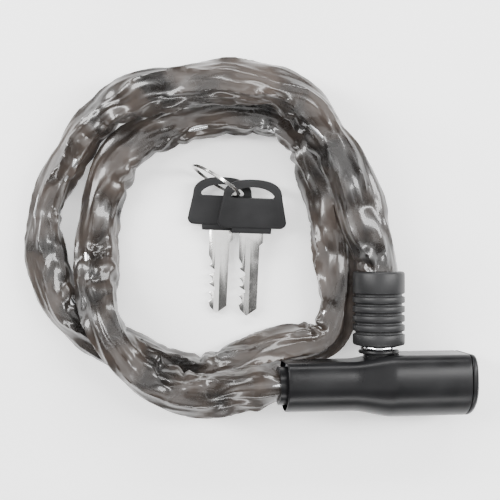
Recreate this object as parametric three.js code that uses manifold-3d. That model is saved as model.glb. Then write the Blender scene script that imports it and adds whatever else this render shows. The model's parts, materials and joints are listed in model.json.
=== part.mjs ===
// Bicycle chain lock: a short-link chain in a loose sleeve, wound in two turns, closed by a key-operated
// barrel lock. One end of the chain is pinned inside the lock, and the other ends in a ribbed ferrule whose
// bolt plugs into the lock's side. Two keys on a split ring lie inside the loop.
// Millimetres. +X along the lock, +Y the way the bolt pulls out, +Z up from the table it lies on.
import * as THREE from "three";
import { mergeVertices } from "three/addons/utils/BufferGeometryUtils.js";
import Module from "manifold-3d";

const wasm = await Module();
wasm.setup();

// ---------------------------------------------------------------- driving dimensions

const gap = 0.3; // between pieces that touch
const rad = Math.PI / 180;

const lockLength = 90;
const lockRadius = 15.5; // of the big end's round side
const flatOffset = 14.4; // from the lock's axis to its flat side, where the bolt enters
const slimShare = 0.79; // of the slim end's section to the big end's
const lockCentre = [60.5, -63.4];
const lockTilt = 8.5 * rad; // the slim end rests on the chain, the big end on the table
const shellWall = 1.8;
const capThickness = 3;

const boltX = 0.5; // the bolt's place along the lock, from its middle
const boltRadius = 5.75;
const boltDepth = 5.9; // past the lock's axis
const boltGrooveRadius = 3.5;
const boltGroove = [-4.2, 0.8]; // along the bolt, from the lock's axis
const bushFlangeRadius = 9.6;
const boltFlangeRadius = 8.7;
const flangeThickness = 1.6;
const runningGap = 0.35; // round the bolt and round the key plug

const ferruleRadius = 12.3;
const ferruleLength = 34.8;
const ferruleBore = 9.9;
const ferruleFloor = 5.5;
const grooveCount = 5;
const grooveWidth = 1.5;
const grooveDepth = 1.2;
const ribWidth = 2.9;
const topCollar = 10.4;

const cylinderRadius = 9.5;
const cylinderLength = 26;
const plugRadius = 5.9;
const plugStubRadius = 3.6;
const camThrow = 1.6;
const camPinRadius = 1.3;
const camRest = 45 * rad; // the cam pin's angle when the lock is open
const keywayWidth = 2.6;
const keywayHeight = 8;
const waferCount = 5;
const waferPitch = 4;
const waferThickness = 1;
const waferSize = [6.4, 9.4];

const wire = 3.7;
const linkInnerWidth = 7.6;
const linkPitchAim = 18;
const linkSlack = 0.4; // play between two links pulled tight
const looseLinks = [15, 11]; // links with a node each, from the lock and up to the sliding ones
const slidingLinks = 5; // those that close up when the bolt is pulled out
const linkPinRadius = 2.1;
const anchorX = -27;

const sleeveRadius = 9.6;
const sleeveWall = 0.6;

const keyThickness = 2;
const keyHeadThickness = 4.6;
const keyHeadWidth = [33, 28.5]; // near the blade, near the top
const keyHeadLength = 23.5;
const keyBladeWidth = 11.5;
const keyBladeLength = 41;
const ringRadius = 12.9;
const ringWire = 1.1;

// The middle of the sleeve, from the lock's slim end to the ferrule's mouth.
const route = [
  [6, -63.5, 29.8], [-7, -65, 30], [-21, -67, 29.6], [-35, -66, 29.4], [-47, -61, 29.3],
  [-56, -53, 29.3], [-63, -44, 29], [-68, -34, 26.5], [-71.5, -24, 20], [-74, -13, 13],
  [-74.5, -2, 9.8], [-74, 10, 9.8], [-72, 22, 9.8], [-69, 33, 9.8], [-63.5, 43, 9.8],
  [-55.5, 51, 9.8], [-46, 57, 9.8], [-35, 61.5, 9.8], [-22, 64.5, 9.8], [-7, 66, 9.8],
  [6, 65, 9.8], [17, 61, 9.8], [25.5, 53.5, 9.8], [31, 43, 9.8], [34.5, 31.5, 9.8],
  [38, 19, 9.8], [40.5, 6, 9.8], [41.8, -7, 9.8], [42.2, -19, 9.8], [42, -30, 9.8],
  [39, -39.5, 9.8], [33, -44.8, 9.8], [24, -46.8, 9.8], [12, -48.8, 9.8], [0, -53.5, 9.8],
  [-14, -58.5, 9.8], [-27, -60, 9.8], [-41, -56.5, 9.8], [-54, -51, 9.8], [-67, -46, 9.8],
  [-79, -39.5, 9.8], [-88.5, -31, 9.8], [-94.5, -19.5, 9.8], [-98, -6, 9.8], [-99.5, 7, 9.8],
  [-98.5, 20.5, 9.8], [-94.5, 33, 9.8], [-88, 45, 9.8], [-80, 56, 11.5], [-69, 66, 16],
  [-55, 73, 22.5], [-40.5, 76.5, 27], [-25, 78, 28.8], [-9, 78, 29], [6, 76, 29],
  [19, 71, 29], [30, 63, 29], [38.5, 52.5, 28.6], [44.5, 40, 28], [49, 26.5, 27],
  [53, 13, 25.4], [57.5, 1, 22.8],
];

// ---------------------------------------------------------------- finishes

const finish = (color, roughness, metalness) => new THREE.MeshStandardMaterial({ color, roughness, metalness });
const blackPlastic = finish(0x141414, 0.45, 0);
const castMetal = finish(0x8b8d90, 0.5, 0.9);
const chrome = finish(0xd9dbde, 0.12, 1);
const steel = finish(0x8f9296, 0.35, 1);
const brass = finish(0xb8975a, 0.35, 1);
const sleevePlastic = finish(0x4a423e, 0.25, 0);
const keyPlastic = finish(0x1a1a1b, 0.6, 0);
const nickel = finish(0xbfc0c2, 0.28, 1);
const rubber = finish(0x0c0c0c, 0.8, 0);

// ---------------------------------------------------------------- solids and shapes

// A closed geometry as a solid that can be cut and joined.
function solid(geometry) {
  const bare = geometry.clone();
  bare.deleteAttribute("normal");
  bare.deleteAttribute("uv");
  const merged = mergeVertices(bare, 1e-4);
  const vertProperties = new Float32Array(merged.attributes.position.array);
  const triVerts = new Uint32Array(merged.index.array);
  return new wasm.Manifold(new wasm.Mesh({ numProp: 3, vertProperties, triVerts }));
}

// A solid as a geometry.
function geometryOf(made) {
  const mesh = made.getMesh();
  const geometry = new THREE.BufferGeometry();
  geometry.setAttribute("position", new THREE.BufferAttribute(mesh.vertProperties, 3));
  geometry.setIndex(new THREE.BufferAttribute(mesh.triVerts, 1));
  geometry.computeVertexNormals();
  return geometry;
}

const cut = (geometry, ...tools) => geometryOf(tools.reduce((left, t) => left.subtract(solid(t)), solid(geometry)));
const join = (geometry, ...more) => geometryOf(more.reduce((sum, m) => sum.add(solid(m)), solid(geometry)));

// A box between two corners.
function block([x0, y0, z0], [x1, y1, z1]) {
  const box = new THREE.BoxGeometry(x1 - x0, y1 - y0, z1 - z0);
  return box.translate((x0 + x1) / 2, (y0 + y1) / 2, (z0 + z1) / 2);
}

const rodY = (radius, from, to, sides = 24) =>
  new THREE.CylinderGeometry(radius, radius, to - from, sides).translate(0, (from + to) / 2, 0);
const rodX = (radius, from, to, sides = 24) => rodY(radius, from, to, sides).rotateZ(-Math.PI / 2);
const rodZ = (radius, from, to, sides = 16) => rodY(radius, from, to, sides).rotateX(Math.PI / 2);

// A ring of rectangular section round X.
const ringX = (inner, outer, from, to) => cut(rodX(outer, from, to), rodX(inner, from - 1, to + 1));

// The lock's section: round, with a flat side towards the bolt.
function lockSection(share) {
  const r = lockRadius * share;
  const flat = flatOffset * share;
  const half = 0.62 * r;
  const shape = new THREE.Shape();
  shape.moveTo(flat, -half);
  shape.lineTo(flat, half);
  shape.quadraticCurveTo(flat, r, 0, r);
  shape.absarc(0, 0, r, Math.PI / 2, 1.5 * Math.PI);
  shape.quadraticCurveTo(flat, -r, flat, -half);
  return shape;
}

// How much of the big end's section the lock has at x: slim up to the bolt, then full.
function lockShare(x) {
  const slope = (0.03 * (x + lockLength / 2)) / lockLength;
  return Math.min(1, slimShare + slope + (1 - slimShare) * THREE.MathUtils.smoothstep(x, boltX - 14, boltX + 8));
}

// A solid with the lock's outline, drawn in by inset, between two places along it.
function lockLoft(inset, from, to, steps, share = lockShare) {
  const section = lockSection((lockRadius - inset) / lockRadius);
  const loft = new THREE.ExtrudeGeometry(section, { depth: 1, steps, bevelEnabled: false, curveSegments: 5 });
  const at = loft.attributes.position;
  for (let i = 0; i < at.count; i++) {
    const x = from + (to - from) * at.getZ(i);
    const grown = (share(x) * lockRadius - inset) / (lockRadius - inset);
    at.setXYZ(i, x, at.getX(i) * grown, at.getY(i) * grown);
  }
  return loft;
}

// ---------------------------------------------------------------- the lock, along its own axis

const lock = new THREE.Group();
lock.rotation.y = lockTilt;
const big = lockLength / 2;
lock.position.set(...lockCentre, lockRadius * Math.cos(lockTilt) + big * Math.sin(lockTilt));
lock.updateMatrixWorld(true);

const piece = (name, geometry, material, group = lock) => {
  const mesh = new THREE.Mesh(geometry, material);
  mesh.name = name;
  group.add(mesh);
  return mesh;
};

const shellEnd = big - capThickness - gap;
const coreInset = shellWall + gap;
const coreStart = -big + shellWall + gap;
const coreEnd = shellEnd - gap;
const chainBore = linkInnerWidth / 2 + wire + 1.1;
const cylinderStart = coreEnd - cylinderLength;
const bushBore = boltRadius + runningGap;
const bushRadius = bushBore + 1.2;
const bushInner = 4; // the bush's inner end, from the lock's axis
const bushFlange = [flatOffset + gap, flatOffset + gap + flangeThickness];
const boltFlange = [bushFlange[1] + gap, bushFlange[1] + gap + flangeThickness];
const ferruleStart = boltFlange[1] + gap;
const ferruleEnd = ferruleStart + ferruleLength;
const plugHole = plugRadius + runningGap;
const atBolt = (geometry) => geometry.translate(boltX, 0, 0);

piece(
  "housing",
  cut(
    lockLoft(0, -big, shellEnd, 12),
    lockLoft(shellWall, -big + shellWall, shellEnd + 1, 12),
    rodX(chainBore + 0.2, -big - 1, -big + shellWall + 1),
    atBolt(rodY(bushRadius + gap, 0, flatOffset + 1)),
  ),
  blackPlastic,
);

// The latch's pocket, the channel to the bolt and the latch itself share these.
const latchX = [boltX + boltRadius + 2.2, boltX + boltRadius + 5.9];
const camStroke = 2 * camThrow * Math.sin(camRest);
const latchHalf = 6.8;
const latchTop = boltRadius + 3.5;
const latchFoot = boltRadius + 0.45; // the prong's lower side, clear of the bolt when open
const latchBottom = -5.2;
const prongY = [boltGroove[0] + 0.5, boltGroove[1] - 0.5];
const prongX = boltX - 4;
const pocket = block(
  [latchX[0] - gap, -latchHalf - gap, latchBottom - camStroke - gap],
  [latchX[1] + gap, latchHalf + gap, latchTop + gap],
);
const channel = block(
  [prongX - gap, prongY[0] - gap, latchFoot - camStroke - gap],
  [latchX[0], prongY[1] + gap, latchTop + gap],
);
const clipX = [cylinderStart - 1.6, cylinderStart - 0.4];
const clipRadius = plugHole + 1;

piece(
  "lock_body",
  cut(
    lockLoft(coreInset, coreStart, coreEnd, 12),
    rodX(chainBore, coreStart - 1, anchorX + linkPitchAim / 2),
    rodZ(linkPinRadius + gap, -lockRadius, lockRadius).translate(anchorX, 0, 0),
    atBolt(rodY(bushBore, -boltDepth - gap, flatOffset)),
    atBolt(rodY(bushRadius + gap, bushInner - gap, flatOffset)),
    pocket,
    channel,
    rodX(clipRadius + gap, latchX[1], cylinderStart + 0.5),
    rodX(cylinderRadius + gap, cylinderStart - gap, coreEnd + 1),
  ),
  castMetal,
);

// The end cap's outer edge is drawn in, in two steps.
const capStart = big - capThickness;
const capShare = (x) => 1 - 0.09 * THREE.MathUtils.smoothstep(x, capStart + 0.9, big);
piece(
  "end_cap",
  cut(lockLoft(0, capStart, big, 4, capShare), rodX(plugHole, capStart - 1, big + 1)),
  blackPlastic,
);

const wafersFrom = cylinderStart + 6;
const waferAt = (i) => wafersFrom + i * waferPitch;
piece(
  "cylinder_shell",
  cut(
    rodX(cylinderRadius, cylinderStart, coreEnd),
    rodX(plugHole, cylinderStart - 1, coreEnd + 1),
    block(
      [wafersFrom - 2, -waferSize[0] / 2 - gap, -plugRadius - 1.8],
      [waferAt(waferCount - 1) + 2, waferSize[0] / 2 + gap, plugRadius + 1.8],
    ),
  ),
  brass,
);

const waferSlots = [];
for (let i = 0; i < waferCount; i++) {
  const half = waferThickness / 2 + 0.2;
  waferSlots.push(
    block([waferAt(i) - half, -waferSize[0] / 2 - 0.2, -plugRadius - 1],
      [waferAt(i) + half, waferSize[0] / 2 + 0.2, plugRadius + 1]),
  );
}
const keyway = block(
  [cylinderStart + 4, -keywayWidth / 2, -keywayHeight / 2],
  [big + 1, keywayWidth / 2, keywayHeight / 2],
);
const camPin = rodX(camPinRadius, latchX[0], latchX[1] + 1.2, 16);
camPin.translate(0, camThrow * Math.cos(camRest), camThrow * Math.sin(camRest));
piece(
  "key_plug",
  cut(
    join(
      rodX(plugRadius, cylinderStart + gap, big - 0.4, 32),
      rodX(plugStubRadius, latchX[1] + gap, cylinderStart + 1),
      camPin,
    ),
    keyway,
    ...waferSlots,
  ),
  nickel,
);
piece("plug_clip", ringX(plugStubRadius + gap, clipRadius, ...clipX), steel);
for (let i = 0; i < waferCount; i++) {
  const half = waferThickness / 2;
  const drop = 0.5 * Math.cos(2.4 * i); // each wafer's window has its own height
  piece(
    `wafer_${i + 1}`,
    cut(
      block([waferAt(i) - half, -waferSize[0] / 2, -waferSize[1] / 2],
        [waferAt(i) + half, waferSize[0] / 2, waferSize[1] / 2]),
      block([waferAt(i) - 1, -keywayWidth / 2 - 0.2, -3 + drop], [waferAt(i) + 1, keywayWidth / 2 + 0.2, 3 + drop]),
    ),
    brass,
  );
}

const yoke = block(
  [latchX[0] - 1, -camThrow - camPinRadius - 0.5, camThrow * Math.sin(camRest) - camPinRadius - 0.2],
  [latchX[1] + 1, camThrow + camPinRadius + 0.5, camThrow * Math.sin(camRest) + camPinRadius + 0.2],
);
piece(
  "latch",
  cut(
    join(
      block([latchX[0], -latchHalf, latchBottom], [latchX[1], latchHalf, latchTop]),
      block([prongX, prongY[0], latchFoot], [latchX[0] + 1, prongY[1], latchTop]),
    ),
    yoke,
  ),
  steel,
);

piece(
  "bolt_bush",
  atBolt(
    cut(
      join(rodY(bushRadius, bushInner, bushFlange[0] + 0.5), rodY(bushFlangeRadius, ...bushFlange, 32)),
      rodY(bushBore, bushInner - 1, bushFlange[1] + 1),
    ),
  ),
  blackPlastic,
);

// The bolt: round nose, latch groove, seal groove, flange and the stub that carries the ferrule.
const sealAt = bushInner + 6;
const sealWire = 0.7;
const stubRadius = 4;
const turned = (points, sides) =>
  new THREE.LatheGeometry(points.map(([r, y]) => new THREE.Vector2(r, y)), sides);
const boltProfile = [
  [0, -boltDepth], [boltRadius - 1.5, -boltDepth], [boltRadius, -boltDepth + 1.5],
  [boltRadius, boltGroove[0]], [boltGrooveRadius, boltGroove[0]],
  [boltGrooveRadius, boltGroove[1]], [boltRadius, boltGroove[1]],
  [boltRadius, sealAt - sealWire - gap], [boltRadius - 2 * sealWire - gap, sealAt - sealWire - gap],
  [boltRadius - 2 * sealWire - gap, sealAt + sealWire + gap], [boltRadius, sealAt + sealWire + gap],
  [boltRadius, boltFlange[0]], [boltFlangeRadius, boltFlange[0]],
  [boltFlangeRadius, boltFlange[1]], [stubRadius, boltFlange[1]],
  [stubRadius, ferruleStart + ferruleFloor - 0.5], [0, ferruleStart + ferruleFloor - 0.5],
];
piece("bolt", atBolt(turned(boltProfile, 20)), chrome);
const sealGeometry = new THREE.TorusGeometry(boltRadius - sealWire + 0.05, sealWire, 6, 24);
piece("bolt_seal", atBolt(sealGeometry.rotateX(Math.PI / 2).translate(0, sealAt, 0)), rubber);

// The ferrule: two collars with ribs between grooves, and a deep bore for the chain's end.
function ferruleProfile() {
  const points = [[stubRadius + gap, ferruleStart], [ferruleRadius - 0.6, ferruleStart]];
  points.push([ferruleRadius, ferruleStart + 0.6]);
  const ribsTop = ferruleEnd - topCollar;
  const ribsStart = ribsTop - grooveCount * grooveWidth - (grooveCount - 1) * ribWidth;
  for (let i = 0; i < grooveCount; i++) {
    const from = ribsStart + i * (grooveWidth + ribWidth);
    const low = ferruleRadius - grooveDepth;
    points.push([ferruleRadius, from], [low, from + 0.3]);
    points.push([low, from + grooveWidth - 0.3], [ferruleRadius, from + grooveWidth]);
  }
  points.push([ferruleRadius, ferruleEnd - 0.6], [ferruleRadius - 0.6, ferruleEnd]);
  points.push([ferruleBore, ferruleEnd], [ferruleBore, ferruleStart + ferruleFloor]);
  points.push([stubRadius + gap, ferruleStart + ferruleFloor], [stubRadius + gap, ferruleStart]);
  return points;
}
const ferrulePinY = ferruleStart + ferruleFloor + 6.5;
const pinEnds = [-ferruleRadius + 0.8, ferruleBore + 0.6]; // let in from below, and blind above
const ferrulePinHole = rodZ(linkPinRadius + gap, -ferruleRadius - 1, pinEnds[1] + gap);
piece("ferrule", atBolt(cut(turned(ferruleProfile(), 24), ferrulePinHole.translate(0, ferrulePinY, 0))), blackPlastic);
const ferrulePin = rodZ(linkPinRadius, ...pinEnds);
piece("ferrule_pin", atBolt(ferrulePin.translate(0, ferrulePinY, 0)), steel);
const anchorHalf = lockShare(anchorX) * lockRadius - coreInset - 0.4;
piece("anchor_pin", rodZ(linkPinRadius, -anchorHalf, anchorHalf).translate(anchorX, 0, 0), steel);

// ---------------------------------------------------------------- the chain

const whole = new THREE.Group();
whole.add(lock);
const inWorld = (x, y, z) => lock.localToWorld(new THREE.Vector3(x, y, z));
const eyePlay = linkPinRadius + gap; // from a pin's middle to the inside of the link it holds

// A stretch of a longer curve.
class Stretch extends THREE.Curve {
  constructor(base, from, to) {
    super();
    this.base = base;
    this.from = from;
    this.to = to;
  }
  getPoint(t) {
    return this.base.getPointAt(THREE.MathUtils.clamp(this.from + (this.to - this.from) * t, 0, 1));
  }
}

const mouth = inWorld(boltX, ferruleEnd, 0);
const chainLine = new THREE.CatmullRomCurve3([
  inWorld(anchorX + eyePlay, 0, 0),
  inWorld((anchorX - big) / 2, 0, 0),
  inWorld(-big, 0, 0),
  ...route.map((at) => new THREE.Vector3(...at)),
  mouth,
  inWorld(boltX, (ferruleEnd + ferrulePinY) / 2, 0),
  inWorld(boltX, ferrulePinY - eyePlay, 0),
]);
chainLine.arcLengthDivisions = 3000;
const chainLength = chainLine.getLength();
const linkCount = 2 * Math.round((chainLength / linkPitchAim - 1) / 2) + 1; // odd, so both end links lie flat
const linkPitch = chainLength / linkCount;

// One link: a ring of round wire whose halves are pushed apart, long way along X, flat in XY.
const bowRadius = (linkInnerWidth + wire) / 2;
const linkSides = 8;
function linkGeometry() {
  const link = new THREE.TorusGeometry(bowRadius / Math.cos(Math.PI / linkSides), wire / 2, 5, linkSides);
  link.rotateZ(Math.PI / linkSides);
  const push = (linkPitch + wire + linkSlack) / 2 - bowRadius;
  const at = link.attributes.position;
  for (let i = 0; i < at.count; i++) at.setX(i, at.getX(i) + push * Math.sign(at.getX(i)));
  return link;
}

// Where link i lies: along the chain's line, each turned a quarter from the last, and all of them
// turned by up to an eighth away from the two ends, whose pins they lie flat on.
const twistLinks = 5;
function linkMatrix(i) {
  const from = chainLine.getPointAt(i / linkCount);
  const to = chainLine.getPointAt((i + 1) / linkCount);
  const along = to.clone().sub(from).normalize();
  const side = new THREE.Vector3(0, 0, 1).cross(along).normalize();
  const up = along.clone().cross(side);
  const share = Math.min(i, linkCount - 1 - i, twistLinks) / twistLinks;
  const roll = (share * Math.PI) / 4 + (i % 2) * (Math.PI / 2);
  const wide = side.clone().multiplyScalar(Math.cos(roll)).addScaledVector(up, Math.sin(roll));
  const matrix = new THREE.Matrix4().makeBasis(along, wide, along.clone().cross(wide));
  return matrix.setPosition(from.add(to).multiplyScalar(0.5));
}

const placedLink = (i) => linkGeometry().applyMatrix4(linkMatrix(i));
const two = (n) => String(n).padStart(2, "0");
const boltLinks = 2; // those that the ferrule holds
const fixedLinks = linkCount - boltLinks - slidingLinks;
const middle = [looseLinks[0], fixedLinks - looseLinks[1]];
for (let i = 0; i < fixedLinks; i++) {
  if (i < middle[0] || i >= middle[1]) piece(`chain_link_${two(i + 1)}`, placedLink(i), steel, whole);
}

// The chain's middle is one piece, its links joined by a spot of metal where they meet.
const middleParts = [];
for (let i = middle[0]; i < middle[1]; i++) {
  middleParts.push(placedLink(i));
  const meeting = chainLine.getPointAt(i / linkCount);
  if (i > middle[0]) middleParts.push(new THREE.OctahedronGeometry(1.6).translate(...meeting));
}
piece("chain_middle", join(middleParts[0], ...middleParts.slice(1)), steel, whole);
for (let k = 0; k < slidingLinks; k++) piece(`sliding_link_${k + 1}`, placedLink(fixedLinks + k), steel, whole);
for (let k = 0; k < boltLinks; k++) {
  piece(`ferrule_link_${k + 1}`, placedLink(linkCount - boltLinks + k), steel, whole);
}

// ---------------------------------------------------------------- the sleeve

const shareOf = (point) => {
  let best = 0;
  const steps = 4000;
  for (let i = 1; i <= steps; i++) {
    const nearer = chainLine.getPointAt(i / steps).distanceTo(point) < chainLine.getPointAt(best).distanceTo(point);
    if (nearer) best = i / steps;
  }
  return best;
};

function sleeve(from, to, steps) {
  const ring = new THREE.Shape().absarc(0, 0, sleeveRadius, 0, 2 * Math.PI);
  ring.holes.push(new THREE.Path().absarc(0, 0, sleeveRadius - sleeveWall, 0, 2 * Math.PI, true));
  const options = { steps, curveSegments: 5, extrudePath: new Stretch(chainLine, from, to) };
  return new THREE.ExtrudeGeometry(ring, options);
}
const edge = 0.6 / chainLength;
const mouthGap = 1.8 / chainLength;
const sleeveStart = shareOf(inWorld(-big, 0, 0)) + mouthGap;
const sleeveEnd = shareOf(mouth) - mouthGap;
const gatherStart = fixedLinks / linkCount;
piece("sleeve", sleeve(sleeveStart, gatherStart, 60), sleevePlastic, whole);
piece("sleeve_gathered_end", sleeve(gatherStart + edge, sleeveEnd, 10), sleevePlastic, whole);

// ---------------------------------------------------------------- keys and ring

// A key's head seen from above: wide near the blade, arched at the top, with a slot for the ring.
function keyHead() {
  const [low, high] = keyHeadWidth.map((w) => w / 2);
  const head = new THREE.Shape();
  head.moveTo(-low + 3, 0);
  head.lineTo(low - 3, 0);
  head.quadraticCurveTo(low, 0, low, 3.5);
  head.lineTo(high, keyHeadLength - 8);
  head.quadraticCurveTo(high - 2, keyHeadLength - 0.5, 0, keyHeadLength);
  head.quadraticCurveTo(-high + 2, keyHeadLength - 0.5, -high, keyHeadLength - 8);
  head.lineTo(-low, 3.5);
  head.quadraticCurveTo(-low, 0, -low + 3, 0);
  const slot = new THREE.Path();
  const slotBottom = keyHeadLength - 9;
  slot.moveTo(-10.5, slotBottom);
  slot.quadraticCurveTo(-10.5, slotBottom + 4.6, 0, slotBottom + 5.4);
  slot.quadraticCurveTo(10.5, slotBottom + 4.6, 10.5, slotBottom);
  slot.lineTo(-10.5, slotBottom);
  head.holes.push(slot);
  const options = { depth: keyHeadThickness, bevelEnabled: false, curveSegments: 5 };
  const socket = block(
    [-keyBladeWidth / 2 - gap, -1, (keyHeadThickness - keyThickness) / 2 - gap],
    [keyBladeWidth / 2 + gap, keyHeadLength / 2, (keyHeadThickness + keyThickness) / 2 + gap],
  );
  return cut(new THREE.ExtrudeGeometry(head, options), socket);
}

// A key's blade: its tang in the head, a shoulder, cuts along one edge and a point.
function keyBlade() {
  const half = keyBladeWidth / 2;
  const blade = new THREE.Shape();
  blade.moveTo(-half, keyHeadLength / 2 - gap);
  blade.lineTo(-half, -15);
  const cuts = [1.6, 3.2, 2.3, 3.4, 2];
  cuts.forEach((depth, i) => {
    blade.lineTo(-half + 0.4, -16.5 - i * 4.4);
    blade.lineTo(-half + depth, -18.2 - i * 4.4);
    blade.lineTo(-half + depth, -19.6 - i * 4.4);
  });
  blade.lineTo(-half + 1.2, -keyBladeLength + 3);
  blade.lineTo(-half + 4.4, -keyBladeLength);
  blade.lineTo(half - 3.2, -keyBladeLength + 3.5);
  blade.lineTo(half - 2.2, -8.5);
  blade.lineTo(half, -7);
  blade.lineTo(half, keyHeadLength / 2 - gap);
  return new THREE.ExtrudeGeometry(blade, { depth: keyThickness, bevelEnabled: false });
}

// The ring stands upright through both heads' slots. Each key leans from its raised head to its tip.
const ringCentre = new THREE.Vector3(-16.4, 33.6, ringRadius + ringWire + 0.1);
const ringTurn = -32 * rad;
const ringGeometry = new THREE.TorusGeometry(ringRadius, ringWire, 6, 36).rotateX(Math.PI / 2);
const ring = piece("split_ring", ringGeometry, nickel, whole);
ring.position.copy(ringCentre);
ring.rotation.z = ringTurn;

function key(number, x, y, lift, lean, turn) {
  const group = new THREE.Group();
  group.rotation.order = "ZXY";
  group.rotation.set(lean * rad, 0, turn * rad);
  group.position.set(x, y, lift);
  whole.add(group);
  piece(`key_head_${number}`, keyHead(), keyPlastic, group);
  piece(`key_blade_${number}`, keyBlade().translate(0, 0, (keyHeadThickness - keyThickness) / 2), nickel, group);
}
key(1, 0.8, 11, 7.8, 8, -2);
key(2, -14, 12.4, 2.6, 3.2, -2);

// ---------------------------------------------------------------- the frame: on the table, centred

const box = new THREE.Box3().setFromObject(whole, true);
whole.position.set(-(box.min.x + box.max.x) / 2, -(box.min.y + box.max.y) / 2, -box.min.z);

const chainLock = new THREE.Group();
chainLock.add(whole);
chainLock.updateMatrixWorld(true);
export default chainLock;
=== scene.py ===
"""A chain lock in its smoked sleeve, with two keys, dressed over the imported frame."""

import bisect
import json
import logging
import math
import random
from collections.abc import Sequence
from dataclasses import dataclass, field
from enum import Enum

import bmesh
import bpy
from mathutils import Matrix, Vector, noise

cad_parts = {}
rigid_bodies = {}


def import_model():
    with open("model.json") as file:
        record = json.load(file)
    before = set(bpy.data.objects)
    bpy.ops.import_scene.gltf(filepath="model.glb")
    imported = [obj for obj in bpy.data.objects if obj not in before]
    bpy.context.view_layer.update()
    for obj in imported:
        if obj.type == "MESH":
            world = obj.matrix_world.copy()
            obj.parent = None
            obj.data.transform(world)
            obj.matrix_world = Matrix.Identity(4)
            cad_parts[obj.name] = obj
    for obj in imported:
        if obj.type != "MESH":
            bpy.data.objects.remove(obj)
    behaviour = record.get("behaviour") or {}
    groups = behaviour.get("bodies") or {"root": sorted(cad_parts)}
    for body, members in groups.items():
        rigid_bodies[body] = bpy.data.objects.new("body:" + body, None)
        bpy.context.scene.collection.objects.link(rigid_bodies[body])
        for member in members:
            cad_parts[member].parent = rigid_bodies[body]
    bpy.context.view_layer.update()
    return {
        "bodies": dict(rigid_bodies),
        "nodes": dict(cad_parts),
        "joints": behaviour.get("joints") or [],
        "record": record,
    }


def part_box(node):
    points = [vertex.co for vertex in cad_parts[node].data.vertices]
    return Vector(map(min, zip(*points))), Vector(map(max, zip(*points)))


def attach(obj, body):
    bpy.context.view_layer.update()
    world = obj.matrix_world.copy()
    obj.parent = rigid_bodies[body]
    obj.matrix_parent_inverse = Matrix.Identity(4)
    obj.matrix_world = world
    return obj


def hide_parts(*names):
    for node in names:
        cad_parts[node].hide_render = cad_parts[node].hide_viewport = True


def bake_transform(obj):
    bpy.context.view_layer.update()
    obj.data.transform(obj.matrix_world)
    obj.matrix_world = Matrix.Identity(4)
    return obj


log = logging.getLogger("chain_lock")
MM = 0.001
AXIS_Z = Vector((0.0, 0.0, 1.0))


# ---------------------------------------------------------------- shader maths


class Sock:
    """A shader socket or number that takes part in Python expressions."""

    def __init__(self, mat: "Dressing", out: bpy.types.NodeSocket | float) -> None:
        """Wraps one output socket, or a plain number, of a material."""
        self.mat = mat
        self.out = out

    def _op(self, kind: str, *others: "Sock | float") -> "Sock":
        """A Math node of this kind on self and the others."""
        values = {i: o.out if isinstance(o, Sock) else o for i, o in enumerate((self, *others))}
        return self.mat.node("ShaderNodeMath", {"operation": kind}, values)

    def __add__(self, o: "Sock | float") -> "Sock":
        """self + o."""
        return self._op("ADD", o)

    def __sub__(self, o: "Sock | float") -> "Sock":
        """self - o."""
        return self._op("SUBTRACT", o)

    def __mul__(self, o: "Sock | float") -> "Sock":
        """self * o."""
        return self._op("MULTIPLY", o)

    def __rsub__(self, o: float) -> "Sock":
        """o - self."""
        return Sock(self.mat, o)._op("SUBTRACT", self)

    __radd__ = __add__
    __rmul__ = __mul__

    def power(self, o: float) -> "Sock":
        """self to the power o."""
        return self._op("POWER", o)

    def over(self, low: float, high: float) -> "Sock":
        """0 where self is low or less, 1 where it is high or more, smooth between."""
        values = {0: self.out, 1: low, 2: high, 3: 0.0, 4: 1.0}
        return self.mat.node("ShaderNodeMapRange", {"interpolation_type": "SMOOTHSTEP"}, values)


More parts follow.
